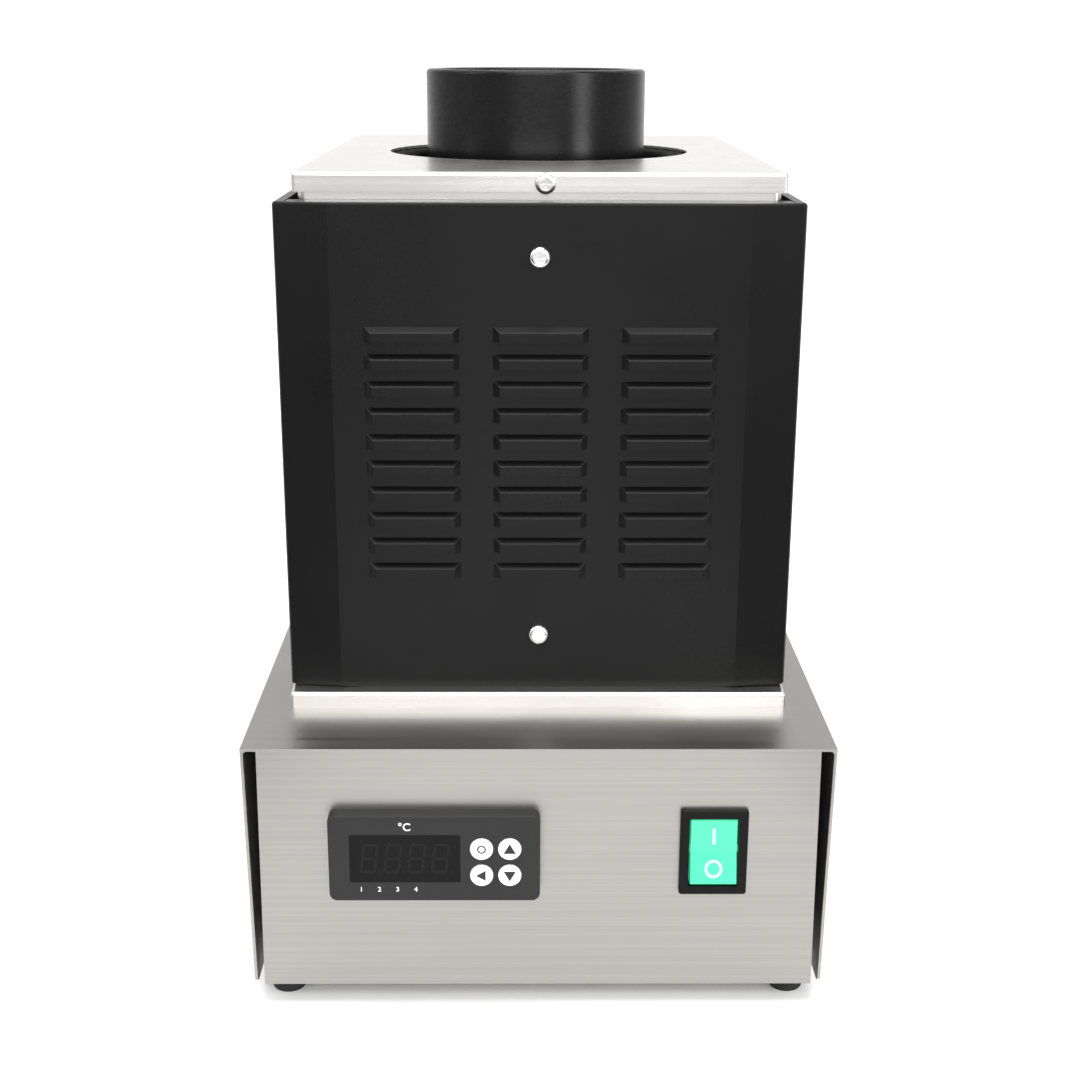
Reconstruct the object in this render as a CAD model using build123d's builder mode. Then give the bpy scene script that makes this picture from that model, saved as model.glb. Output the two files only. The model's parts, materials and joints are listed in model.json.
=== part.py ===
from build123d import *
import os
from math import sin, cos, tan, radians, pi, sqrt

# Electric crucible melting furnace, millimetres.
# +Z up, front faces -Y, +X to the right of somebody facing the front.
# Origin: centre of the footprint, on the surface the rubber feet stand on.

os.makedirs("parts", exist_ok=True)

# ------------------------------------------------------------------ driving dimensions
SHEET = 1.0            # sheet thickness of every bent metal part

BASE_W = 212.0         # base cover, outside, just under its bends
BASE_W_LOW = 209.2     # base cover, outside, at its lower edge: the sides lean in
BASE_D = 312.0         # base cover, front edge to back edge
BASE_H = 95.0          # underside of the tray to the deck
BASE_R = 2.5           # outside radius of the cover's bends
FOOT_H = 8.0           # rubber feet
PANEL_SETBACK = 0.8    # front and rear panel faces behind the cover's edges

FRONT_PROUD = 5.3      # the keys stand this far in front of the cover's front edge
REAR_PROUD = 2.2       # the inlet flange stands this far behind the cover's back edge
Y0 = -(BASE_D + REAR_PROUD - FRONT_PROUD) / 2   # the cover's front edge
Z0 = FOOT_H                                     # underside of the tray
DECK = Z0 + BASE_H                              # top of the deck

BODY_W = 187.0         # heat shields, outside
BODY_Y1 = Y0 + 44.0    # front shield, outside face
BODY_Y2 = Y0 + 302.0   # rear shield, outside face
BODY_YC = (BODY_Y1 + BODY_Y2) / 2
COLLAR_H = 6.0         # bottom plate, deck to its top
COLLAR_W = 186.0
COLLAR_OUT = 6.0       # bottom plate, in front of the front shield
SHIELD_Z1 = DECK + COLLAR_H
SHIELD_Z2 = DECK + 186.3
FLANGE_TOP = 10.5      # front and rear shields, top flange, from the outside face
FLANGE_LOW = 5.0       # bottom flange
SIDE_LIP = 4.0         # side shields, top and bottom lips
SEAM_X = 74.2          # vertical bend lines of the front and rear shields
WING_BACK = 2.0        # how far the wings fall back at the corners

CAP_W = 175.0
CAP_Y1 = Y0 + 54.0
CAP_Y2 = Y0 + 292.0
CAP_TOP = DECK + 196.0
CAP_SKIRT = 7.0
HOLE_R = 62.0          # opening in the top plate

CASE_W = 171.6         # inner case, outside
CASE_Y1 = Y0 + 55.5
CASE_Y2 = Y0 + 290.5
CASE_TOP = CAP_TOP - SHEET - 0.2

MUFFLE_RI = 54.0
MUFFLE_RO = 58.5
COIL_R = 60.9          # centre line of the heating wire
WIRE_D = 3.2
COIL_PITCH = 12.0
LINING_R = 64.0        # bore of the fibre lining

CRUC_R = 45.25
CRUC_TOP = DECK + 229.0
CRUC_H = 165.0
CRUC_X = -0.8
CRUC_RI_TOP = 39.5
CRUC_RI_LOW = 35.5
CRUC_FLOOR = 16.0

LOUVRE_W = 34.0
LOUVRE_H = 5.4
LOUVRE_OUT = 2.4
LOUVRE_PITCH = 9.74
LOUVRE_COL = 46.0
LOUVRE_ROWS = 10
LOUVRE_TOP = DECK + 142.9      # top edge of the top row

SCREW_HEAD_R = 3.75
SHIELD_SCREW_Z = (DECK + 27.4, DECK + 167.6)

CTRL_X, CTRL_Z = -37.5, Z0 + 54.35
CTRL_W, CTRL_H = 76.0, 34.0
CTRL_PROUD = 5.5
CTRL_CASE_W, CTRL_CASE_H, CTRL_CASE_D = 71.0, 29.0, 66.0
WIN_X, WIN_Z = -48.0, Z0 + 54.4
WIN_W, WIN_H = 39.8, 18.8
KEY_R = 4.15
KEY_TRAVEL = 0.5
KEYS = {"set_key": (-20.5, Z0 + 58.3), "shift_key": (-20.5, Z0 + 47.9),
        "up_key": (-10.4, Z0 + 58.3), "down_key": (-10.4, Z0 + 47.9)}

SW_X, SW_Z = 63.2, Z0 + 54.8
SW_W, SW_H = 24.5, 33.4
SW_PROUD = 2.2
ROCKER_W = 16.6
ROCKER_R = 13.0
ROCKER_HALF = 7.0      # each half of the rocker's face slopes this much, in degrees

INLET_X, INLET_Z = 52.0, Z0 + 48.0

PANEL_Y = Y0 + PANEL_SETBACK            # outside face of the front panel
REAR_Y = Y0 + BASE_D - PANEL_SETBACK    # outside face of the rear panel


def front(x, y, z):
    """A frame whose z axis points to the front, with its y axis up."""
    return Plane(origin=(x, y, z), x_dir=(1, 0, 0), z_dir=(0, -1, 0))


def rear(x, y, z):
    return Plane(origin=(x, y, z), x_dir=(-1, 0, 0), z_dir=(0, 1, 0))


def left(x, y, z):
    return Plane(origin=(x, y, z), x_dir=(0, -1, 0), z_dir=(-1, 0, 0))


def right(x, y, z):
    return Plane(origin=(x, y, z), x_dir=(0, 1, 0), z_dir=(1, 0, 0))


def radii(pts):
    """The largest tangent arcs that the runs of a lead leave room for."""
    out = []
    for a, b, c in zip(pts, pts[1:], pts[2:]):
        u, v = Vector(b) - Vector(a), Vector(c) - Vector(b)
        half = radians(u.get_angle(v)) / 2
        out.append(0.45 * min(u.length, v.length) / tan(half))
    return out


def save(part, name):
    part.label = name
    export_step(part, f"parts/{name}.step")


# ------------------------------------------------------------------ shared shapes
with BuildPart() as pan_screw:
    # pan head screw, head towards +Z, seat at z = 0, with a cross recess
    with BuildSketch(Plane.XY):
        Circle(SCREW_HEAD_R)
    extrude(amount=2.2)
    fillet(pan_screw.edges().group_by(Axis.Z)[-1], 1.5)
    with BuildSketch(Plane.XY.offset(2.3)):
        Rectangle(3.6, 0.85)
        Rectangle(0.85, 3.6)
    extrude(amount=-1.3, mode=Mode.SUBTRACT)

with BuildPart() as louvre_outer:
    # pressed hood: local x along the slot, local y up, local z outwards
    with BuildSketch(Plane.XY):
        with Locations((0, LOUVRE_H / 2)):
            Rectangle(LOUVRE_W, LOUVRE_H)
    with BuildSketch(Plane.XY.offset(LOUVRE_OUT)):
        with Locations((0, (LOUVRE_H - 1.7) / 2)):
            Rectangle(LOUVRE_W - 4.4, LOUVRE_H - 1.7)
    loft(ruled=True)
    ridge = (louvre_outer.faces().sort_by(Axis.Z)[-1].edges()
             .filter_by(lambda e: e.center().Y > 0.1))
    fillet(ridge, 0.7)

with BuildPart() as louvre_inner:
    with BuildSketch(Plane.XY.offset(-SHEET - 0.5)):
        with Locations((0, (LOUVRE_H - 0.9) / 2 - 0.05)):
            Rectangle(LOUVRE_W - 1.8, LOUVRE_H - 0.8)
    with BuildSketch(Plane.XY):
        with Locations((0, (LOUVRE_H - 0.9) / 2 - 0.05)):
            Rectangle(LOUVRE_W - 1.8, LOUVRE_H - 0.8)
    loft(ruled=True)
    with BuildSketch(Plane.XY):
        with Locations((0, (LOUVRE_H - 0.9) / 2 - 0.05)):
            Rectangle(LOUVRE_W - 1.8, LOUVRE_H - 0.8)
    with BuildSketch(Plane.XY.offset(LOUVRE_OUT - 0.9)):
        with Locations((0, (LOUVRE_H - 2.4) / 2 - 0.05)):
            Rectangle(LOUVRE_W - 5.2, LOUVRE_H - 2.3)
    loft(ruled=True)

# ------------------------------------------------------------------ base: tray, cover, feet
with BuildPart() as base_tray:
    # front panel, bottom and rear panel are one bent sheet
    with BuildSketch(Plane.YZ.offset(-101.3)):
        with BuildLine():
            Polyline((PANEL_Y, DECK - SHEET), (PANEL_Y, Z0), (REAR_Y, Z0), (REAR_Y, DECK - SHEET),
                     (REAR_Y - SHEET, DECK - SHEET), (REAR_Y - SHEET, Z0 + SHEET),
                     (PANEL_Y + SHEET, Z0 + SHEET), (PANEL_Y + SHEET, DECK - SHEET), close=True)
        make_face()
        fillet([v for v in vertices() if abs(v.Z - Z0) < 0.01], 2.0)
        fillet([v for v in vertices() if abs(v.Z - Z0 - SHEET) < 0.01], 1.0)
    extrude(amount=202.6)
    # the panels' upright edges lean a little
    with BuildSketch(Plane.XZ.offset(-(Y0 - 1))):
        for s in (-1, 1):
            with BuildLine():
                Polyline((s * 101.3, Z0), (s * 100.5, DECK), (s * 103, DECK), (s * 103, Z0), close=True)
            make_face()
    extrude(amount=-(BASE_D + 2), mode=Mode.SUBTRACT)
    # top flanges under the deck
    with BuildSketch(Plane.XY.offset(DECK - 2 * SHEET - 0.05)):
        for y in (PANEL_Y + SHEET + 5, REAR_Y - SHEET - 5):
            with Locations((0, y)):
                Rectangle(196, 10)
    extrude(amount=SHEET)
    # returns at the ends of the panels
    with BuildSketch(Plane.XY.offset(Z0 + 4)):
        for s in (-1, 1):
            for y in (PANEL_Y + SHEET + 4, REAR_Y - SHEET - 4):
                with Locations((s * 99.5, y)):
                    Rectangle(SHEET, 8)
    extrude(amount=82)
    # side lips that the cover screws into
    with BuildSketch(Plane.XY.offset(Z0 + 0.5)):
        for s in (-1, 1):
            with Locations((s * 100.6, Y0 + BASE_D / 2)):
                Rectangle(SHEET, BASE_D - 26)
    extrude(amount=15)
    # controller and switch cut-outs
    with BuildSketch(Plane.XZ.offset(-(Y0 - 1))):
        with Locations((CTRL_X, CTRL_Z)):
            Rectangle(CTRL_CASE_W + 0.4, CTRL_CASE_H + 0.4)
        with Locations((SW_X, SW_Z)):
            Rectangle(22.0, 30.0)
    extrude(amount=-10, mode=Mode.SUBTRACT)
    # inlet cut-out and its screw holes, and a row of vent slots in the rear panel
    with BuildSketch(Plane.XZ.offset(-(REAR_Y - 5))):
        with Locations((INLET_X, INLET_Z)):
            Rectangle(27.6, 20.2)
        with Locations((INLET_X - 20, INLET_Z), (INLET_X + 20, INLET_Z)):
            Circle(1.75)
        with GridLocations(7.0, 1, 9, 1):
            with Locations((-45, Z0 + 62)):
                SlotOverall(26, 3, rotation=90)
    extrude(amount=-10, mode=Mode.SUBTRACT)
    # vent slots in the bottom, under the electronics
    with BuildSketch(Plane.XY.offset(Z0 - 1)):
        with Locations((-45, Y0 + 140), (50, Y0 + 250)):
            with GridLocations(8.0, 1, 7, 1):
                SlotOverall(34, 3.2, rotation=90)
        # foot screws and the screws of relay, terminal block and earth stud
        with Locations((-94, Y0 + 14), (94, Y0 + 14), (-94, Y0 + 298), (94, Y0 + 298)):
            Circle(2.1)
    extrude(amount=4, mode=Mode.SUBTRACT)
    # cover screw holes in the lips
    with BuildSketch(Plane.YZ.offset(-106)):
        with Locations((Y0 + 40, Z0 + 8), (Y0 + BASE_D - 40, Z0 + 8)):
            Circle(1.65)
    extrude(amount=212, mode=Mode.SUBTRACT)
save(base_tray.part, "base_tray")

BOLTS = [(sx * 70, BODY_YC + sy * 98) for sx in (-1, 1) for sy in (-1, 1)]
TAIL_X = COIL_R * cos(radians(75))
LEAD_Y = CASE_Y2 + 3.4
THERMO_X = 8.0               # beside the shield screws on the centre line
LEADS = [(TAIL_X, LEAD_Y), (-TAIL_X, LEAD_Y), (THERMO_X, LEAD_Y)]

with BuildPart() as base_cover:
    # deck and both sides are one bent sheet
    wl, wt = BASE_W_LOW / 2, BASE_W / 2
    zl = Z0 + 1.0
    with BuildSketch(Plane.XZ.offset(-Y0)):
        with BuildLine():
            Polyline((-wl, zl), (-wt, DECK), (wt, DECK), (wl, zl), close=True)
        make_face()
        fillet([v for v in vertices() if abs(v.Z - DECK) < 0.01], BASE_R)
        with BuildLine():
            Polyline((-wl + SHEET, zl), (-wt + SHEET, DECK - SHEET), (wt - SHEET, DECK - SHEET),
                     (wl - SHEET, zl), close=True)
        make_face(mode=Mode.SUBTRACT)
    extrude(amount=-BASE_D)
    inner = [e for e in base_cover.edges().filter_by(Axis.Y)
             if abs(e.center().Z - (DECK - SHEET)) < 0.05 and abs(abs(e.center().X) - (wt - SHEET)) < 0.2]
    fillet(inner, BASE_R - SHEET)
    low = [e for e in base_cover.edges() if abs(e.center().Z - zl) < 0.01 and e.length < 1.5
           and (abs(e.center().Y - Y0) < 0.01 or abs(e.center().Y - Y0 - BASE_D) < 0.01)]
    fillet(low, 3.0)
    with BuildSketch(Plane.XY.offset(DECK - 5)):
        with Locations(*BOLTS):
            Circle(2.25)
        with Locations(*LEADS):
            Circle(2.9)
    extrude(amount=8, mode=Mode.SUBTRACT)
    with BuildSketch(Plane.YZ.offset(-108)):
        with Locations((Y0 + 40, Z0 + 8), (Y0 + BASE_D - 40, Z0 + 8)):
            Circle(1.75)
    extrude(amount=216, mode=Mode.SUBTRACT)
save(base_cover.part, "base_cover")

with BuildPart() as cover_screws:
    for s, pl in ((-1, left), (1, right)):
        for y in (Y0 + 40, Y0 + BASE_D - 40):
            x = s * (BASE_W_LOW / 2 + 0.2)
            with Locations(pl(x, y, Z0 + 8).location):
                add(pan_screw.part)
            with BuildSketch(pl(x, y, Z0 + 8)):
                Circle(1.6)
            extrude(amount=-5.5)
save(cover_screws.part, "cover_screws")

FEET = [(-94, Y0 + 14), (94, Y0 + 14), (-94, Y0 + 298), (94, Y0 + 298)]
with BuildPart() as rubber_feet:
    for x, y in FEET:
        with BuildSketch(Plane.XY.offset(Z0)):
            with Locations((x, y)):
                Circle(7.2)
        extrude(amount=-FOOT_H, taper=7)
    rims = [e for e in rubber_feet.edges().filter_by(GeomType.CIRCLE) if e.center().Z < 0.1]
    fillet(rims, 0.8)
    with BuildSketch(Plane.XY):
        with Locations(*FEET):
            Circle(3.6)
    extrude(amount=3.2, mode=Mode.SUBTRACT)
    with BuildSketch(Plane.XY):
        with Locations(*FEET):
            Circle(2.1)
    extrude(amount=FOOT_H, mode=Mode.SUBTRACT)
save(rubber_feet.part, "rubber_feet")

with BuildPart() as foot_screws:
    for x, y in FEET:
        with BuildSketch(Plane.XY.offset(1.0)):
            with Locations((x, y)):
                Circle(3.3)
        extrude(amount=2.2)
        with BuildSketch(Plane.XY.offset(3.2)):
            with Locations((x, y)):
                Circle(2.0)
        extrude(amount=Z0 + 6 - 3.2)
save(foot_screws.part, "foot_screws")

with BuildPart() as foot_nuts:
    with BuildSketch(Plane.XY.offset(Z0 + SHEET)):
        with Locations(*FEET):
            RegularPolygon(4.0, 6)
            Circle(2.02, mode=Mode.SUBTRACT)
    extrude(amount=3.2)

# ------------------------------------------------------------------ temperature controller
CF = PANEL_Y - CTRL_PROUD          # front face of the controller
with BuildPart() as controller_bezel:
    with BuildSketch(front(CTRL_X, PANEL_Y, CTRL_Z)):
        RectangleRounded(CTRL_W, CTRL_H, 2.9)
    extrude(amount=CTRL_PROUD)
    fillet([e for e in controller_bezel.edges() if abs(e.center().Y - CF) < 0.01], 0.9)
    with BuildSketch(front(CTRL_X, PANEL_Y + 0.01, CTRL_Z)):
        RectangleRounded(CTRL_W - 3.2, CTRL_H - 3.2, 1.4)
    extrude(amount=CTRL_PROUD - 1.8, mode=Mode.SUBTRACT)
    with BuildSketch(front(WIN_X, CF, WIN_Z)):
        RectangleRounded(WIN_W, WIN_H, 0.5)
    extrude(amount=-1.0, mode=Mode.SUBTRACT)
    with BuildSketch(front(WIN_X, CF, WIN_Z)):
        RectangleRounded(WIN_W - 2.4, WIN_H - 2.4, 0.5)
    extrude(amount=-2.5, mode=Mode.SUBTRACT)
    for kx, kz in KEYS.values():
        with BuildSketch(front(kx, CF, kz)):
            Circle(KEY_R + 0.2)
        extrude(amount=-2.5, mode=Mode.SUBTRACT)
save(controller_bezel.part, "controller_bezel")

with BuildPart() as display_window:
    with BuildSketch(front(WIN_X, CF + 0.95, WIN_Z)):
        RectangleRounded(WIN_W - 0.1, WIN_H - 0.1, 0.45)
    extrude(amount=0.8)
save(display_window.part, "display_window")

with BuildPart() as display_module:
    # four-digit display block standing on the control board behind the window
    with BuildSketch(front(WIN_X, PANEL_Y + 3.2, WIN_Z)):
        Rectangle(WIN_W - 3.2, WIN_H - 3.2)
    extrude(amount=CTRL_PROUD + 3.2 - 1.9)
save(display_module.part, "display_module")

with BuildPart() as control_board:
    with BuildSketch(front(CTRL_X, PANEL_Y + 4.8, CTRL_Z)):
        Rectangle(CTRL_CASE_W - 4.0, CTRL_CASE_H - 4.0)
    extrude(amount=1.6)
save(control_board.part, "control_board")

with BuildPart() as key_contacts:
    # small push contacts under the four keys
    for kx, kz in KEYS.values():
        with BuildSketch(front(kx, PANEL_Y + 3.2, kz)):
            Rectangle(6.0, 6.0)
        extrude(amount=2.6)
        with BuildSketch(front(kx, PANEL_Y + 0.6, kz)):
            Circle(1.6)
        extrude(amount=0.9)
save(key_contacts.part, "key_contacts")

for key, (kx, kz) in KEYS.items():
    with BuildPart() as key_cap:
        with BuildSketch(front(kx, CF + 1.9, kz)):
            Circle(KEY_R)
        extrude(amount=1.9 + 0.6)
        fillet(key_cap.edges().group_by(Axis.Y)[0], 0.35)
        with BuildSketch(front(kx, CF + 2.8, kz)):
            Circle(KEY_R + 0.45)
        extrude(amount=0.9)
        with BuildSketch(front(kx, PANEL_Y - 0.9, kz)):
            Circle(1.5)
        extrude(amount=2.0)
    save(key_cap.part, key)

with BuildPart() as controller_case:
    with BuildSketch(front(CTRL_X, PANEL_Y, CTRL_Z)):
        RectangleRounded(CTRL_CASE_W, CTRL_CASE_H, 1.0)
    extrude(amount=-CTRL_CASE_D)
    with BuildSketch(front(CTRL_X, PANEL_Y - 1, CTRL_Z)):
        Rectangle(CTRL_CASE_W - 3.0, CTRL_CASE_H - 3.0)
    extrude(amount=-(CTRL_CASE_D - 0.5), mode=Mode.SUBTRACT)
    # ledges that hold the control board
    for s in (-1, 1):
        with BuildSketch(front(CTRL_X + s * (CTRL_CASE_W / 2 - 2.2), PANEL_Y + 4.8, CTRL_Z)):
            Rectangle(2.0, CTRL_CASE_H - 6)
        extrude(amount=-3.0)
    # cooling slots in the case's sides
    with BuildSketch(right(CTRL_X - 60, PANEL_Y + 40, CTRL_Z)):
        with GridLocations(5, 1, 7, 1):
            SlotOverall(18, 1.6, rotation=90)
    extrude(amount=120, mode=Mode.SUBTRACT)
save(controller_case.part, "controller_case")

CB = PANEL_Y + CTRL_CASE_D
with BuildPart() as controller_terminals:
    # screw terminal strip on the back of the controller
    with BuildSketch(front(CTRL_X, CB, CTRL_Z)):
        Rectangle(64, 20)
    extrude(amount=-9)
    with BuildSketch(front(CTRL_X, CB + 9, CTRL_Z)):
        with GridLocations(7.5, 11, 8, 2):
            Circle(2.2)
    extrude(amount=3.0, mode=Mode.SUBTRACT)
save(controller_terminals.part, "controller_terminals")

with BuildPart() as controller_clamps:
    # side clamps that pull the bezel against the front panel
    for s in (-1, 1):
        x = CTRL_X + s * (CTRL_CASE_W / 2 + 1.6)
        with BuildSketch(front(x, PANEL_Y + SHEET, CTRL_Z)):
            Rectangle(3.0, 14)
        extrude(amount=-26)
        with BuildSketch(front(x + s * 1.6, PANEL_Y + SHEET, CTRL_Z)):
            Rectangle(3.0, 10)
        extrude(amount=-3)
save(controller_clamps.part, "controller_clamps")

# ------------------------------------------------------------------ rocker switch
SF = PANEL_Y - SW_PROUD
PIV_Y = PANEL_Y + 2.2             # rocker's pivot
TR_R = 1.5                        # trunnions
with BuildPart() as switch_housing:
    with BuildSketch(front(SW_X, PANEL_Y, SW_Z)):
        RectangleRounded(SW_W, SW_H, 1.0)
    extrude(amount=SW_PROUD)
    fillet([e for e in switch_housing.edges() if abs(e.center().Y - SF) < 0.01], 0.6)
    with BuildSketch(front(SW_X, PANEL_Y, SW_Z)):
        Rectangle(21.6, 29.6)
    extrude(amount=-22)
    with BuildSketch(front(SW_X, SF - 0.01, SW_Z)):
        RectangleRounded(17.9, 27.0, 0.6)
    extrude(amount=-(SW_PROUD + 16), mode=Mode.SUBTRACT)
    with BuildSketch(right(SW_X - 9.9, PIV_Y, SW_Z)):
        Circle(TR_R + 0.05)
    extrude(amount=19.8, mode=Mode.SUBTRACT)
    # snap wings behind the panel
    for s in (-1, 1):
        with BuildSketch(Plane.XZ.offset(-(PANEL_Y + SHEET + 0.2))):
            with Locations((SW_X, SW_Z + s * 15.2)):
                Rectangle(8, 1.2)
        extrude(amount=-6)
save(switch_housing.part, "switch_housing")

with BuildPart() as rocker:
    # rest position: upper half pressed in, lit. The face is a shallow V; its ends are arcs about the pivot.
    with BuildSketch(right(SW_X - ROCKER_W / 2, PIV_Y, SW_Z)):
        Circle(ROCKER_R)
        # everything in front of the upper half (vertical in this position) and of the lower half
        face_y = SF + 0.9 - PIV_Y         # upper half of the face, measured from the pivot
        out = ROCKER_R * tan(radians(2 * ROCKER_HALF))
        with BuildLine():
            Polyline((face_y, 0), (face_y, 20), (-30, 20), (-30, -20),
                     (face_y - 20 * tan(radians(2 * ROCKER_HALF)), -20), close=True)
        make_face(mode=Mode.SUBTRACT)
        # the back of the rocker
        with BuildLine():
            Polyline((3.6, -20), (3.6, 20), (30, 20), (30, -20), close=True)
        make_face(mode=Mode.SUBTRACT)
    extrude(amount=ROCKER_W)
    fillet([e for e in rocker.edges().filter_by(Axis.X) if e.center().Y < PIV_Y + face_y + 0.1
            and abs(e.center().Z - SW_Z) > 5], 0.5)
    with BuildSketch(right(SW_X - 9.6, PIV_Y, SW_Z)):
        Circle(TR_R)
    extrude(amount=19.2)
    # actuating nose on the back
    with BuildSketch(right(SW_X - 3, PIV_Y, SW_Z)):
        with BuildLine():
            Polyline((3.0, -2.5), (3.0, 2.5), (9.0, 1.2), (9.0, -1.2), close=True)
        make_face()
    extrude(amount=6)
save(rocker.part, "rocker")

with BuildPart() as switch_terminals:
    with BuildSketch(front(SW_X, PANEL_Y + 22, SW_Z)):
        with GridLocations(12, 14, 2, 2):
            Rectangle(0.8, 6.3)
    extrude(amount=-12)
save(switch_terminals.part, "switch_terminals")

with BuildPart() as switch_contacts:
    # contact springs at the bottom of the housing, behind the rocker's nose
    with BuildSketch(front(SW_X, PANEL_Y + 15.9, SW_Z)):
        with GridLocations(12, 1, 2, 1):
            Rectangle(3.0, 20)
    extrude(amount=1.2)
save(switch_contacts.part, "switch_contacts")

# ------------------------------------------------------------------ power inlet, relay, terminals
with BuildPart() as power_inlet:
    # three-pin appliance inlet, flange outside the rear panel
    with BuildSketch(rear(INLET_X, REAR_Y, INLET_Z)):
        RectangleRounded(50, 24, 3)
    extrude(amount=3.0)
    fillet([e for e in power_inlet.edges() if abs(e.center().Y - REAR_Y - 3.0) < 0.01], 0.6)
    with BuildSketch(rear(INLET_X, REAR_Y, INLET_Z)):
        Rectangle(27, 19.6)
    extrude(amount=-18)
    # plug recess with its two lower corners cut off
    with BuildSketch(rear(INLET_X, REAR_Y + 4, INLET_Z)):
        with BuildLine():
            Polyline((-12, 8), (12, 8), (12, -4), (8, -8), (-8, -8), (-12, -4), close=True)
        make_face()
    extrude(amount=-18.5, mode=Mode.SUBTRACT)
    with BuildSketch(rear(INLET_X, REAR_Y + 4, INLET_Z)):
        with Locations((-20, 0), (20, 0)):
            Circle(1.8)
    extrude(amount=-10, mode=Mode.SUBTRACT)
    with BuildSketch(rear(INLET_X, REAR_Y + 3, INLET_Z)):
        with Locations((-20, 0), (20, 0)):
            Circle(3.4)
    extrude(amount=-1.9, taper=40, mode=Mode.SUBTRACT)
    # slots for the three contacts
    with BuildSketch(rear(INLET_X, REAR_Y, INLET_Z)):
        with Locations((-7, -1.5), (7, -1.5)):
            Rectangle(2.1, 4.1)
        with Locations((0, 2.5)):
            Rectangle(2.1, 4.1)
    extrude(amount=-19, mode=Mode.SUBTRACT)
save(power_inlet.part, "power_inlet")

with BuildPart() as inlet_pins:
    with BuildSketch(rear(INLET_X, REAR_Y - 1.0, INLET_Z)):
        with Locations((-7, -1.5), (7, -1.5)):
            Rectangle(2.0, 4.0)
        with Locations((0, 2.5)):
            Rectangle(2.0, 4.0)
    extrude(amount=-27)
save(inlet_pins.part, "inlet_pins")

with BuildPart() as inlet_screws:
    for dx in (-20, 20):
        with BuildSketch(rear(INLET_X + dx, REAR_Y + 2.95, INLET_Z)):
            Circle(3.3)
        extrude(amount=-1.75, taper=40)
        with BuildSketch(rear(INLET_X + dx, REAR_Y + 1.2, INLET_Z)):
            Circle(1.6)
        extrude(amount=-7)
        with BuildSketch(rear(INLET_X + dx, REAR_Y + 3.5, INLET_Z)):
            Rectangle(3.2, 0.7)
            Rectangle(0.7, 3.2)
        extrude(amount=-1.5, mode=Mode.SUBTRACT)
save(inlet_screws.part, "inlet_screws")

with BuildPart() as inlet_nuts:
    for dx in (-20, 20):
        with BuildSketch(rear(INLET_X + dx, REAR_Y - SHEET, INLET_Z)):
            RegularPolygon(3.2, 6)
            Circle(1.62, mode=Mode.SUBTRACT)
        extrude(amount=-2.4)

SINK_X, SINK_Y = 48.0, Y0 + 165
with BuildPart() as relay_heat_sink:
    with BuildSketch(Plane.XY.offset(Z0 + 19)):
        with Locations((SINK_X, SINK_Y)):
            Rectangle(56, 80)
    extrude(amount=5)
    with BuildSketch(Plane.XY.offset(Z0 + SHEET)):
        with Locations((SINK_X, SINK_Y)):
            with GridLocations(6.0, 1, 10, 1):
                Rectangle(1.6, 80)
    extrude(amount=18)
save(relay_heat_sink.part, "relay_heat_sink")

with BuildPart() as solid_state_relay:
    with BuildSketch(Plane.XY.offset(Z0 + 24)):
        with Locations((SINK_X, SINK_Y)):
            RectangleRounded(44, 57, 2)
            with Locations((0, 24), (0, -24)):
                Circle(2.2, mode=Mode.SUBTRACT)
    extrude(amount=22)
    with BuildSketch(Plane.XY.offset(Z0 + 38)):
        with Locations((SINK_X, SINK_Y)):
            with Locations((0, 25.5), (0, -25.5)):
                Rectangle(46, 13)
    extrude(amount=10, mode=Mode.SUBTRACT)
save(solid_state_relay.part, "solid_state_relay")

RELAY_SCREWS = [(SINK_X + sx * 14, SINK_Y + sy * 23.5) for sx in (-1, 1) for sy in (-1, 1)]
with BuildPart() as relay_terminal_screws:
    for x, y in RELAY_SCREWS:
        with BuildSketch(Plane.XY.offset(Z0 + 38)):
            with Locations((x, y)):
                Circle(3.4)
        extrude(amount=2.4)
        with BuildSketch(Plane.XY.offset(Z0 + 41)):
            with Locations((x, y)):
                Rectangle(5, 0.8)
                Rectangle(0.8, 5)
        extrude(amount=-1.6, mode=Mode.SUBTRACT)
save(relay_terminal_screws.part, "relay_terminal_screws")

with BuildPart() as relay_mount_screws:
    for dy in (-24, 24):
        with BuildSketch(Plane.XY.offset(Z0 + 24)):
            with Locations((SINK_X, SINK_Y + dy)):
                Circle(2.0)
        extrude(amount=14)
        with BuildSketch(Plane.XY.offset(Z0 + 38)):
            with Locations((SINK_X, SINK_Y + dy)):
                Circle(3.6)
        extrude(amount=2.4)
save(relay_mount_screws.part, "relay_mount_screws")

TB_X, TB_Y = -45.0, Y0 + 225
with BuildPart() as terminal_block:
    # glazed ceramic block, three ways
    with BuildSketch(Plane.XY.offset(Z0 + SHEET)):
        with Locations((TB_X, TB_Y)):
            RectangleRounded(52, 30, 2)
    extrude(amount=20)
    fillet(terminal_block.edges().group_by(Axis.Z)[-1], 1.2)
    with BuildSketch(Plane.XZ.offset(-(TB_Y - 16))):
        with Locations((TB_X, Z0 + 13)):
            with GridLocations(15, 1, 3, 1):
                Rectangle(7, 7)
    extrude(amount=-32, mode=Mode.SUBTRACT)
    with BuildSketch(Plane.XY.offset(Z0 + 22)):
        with Locations((TB_X, TB_Y)):
            with GridLocations(15, 16, 3, 2):
                Circle(2.6)
    extrude(amount=-6, mode=Mode.SUBTRACT)
save(terminal_block.part, "terminal_block")

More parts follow.
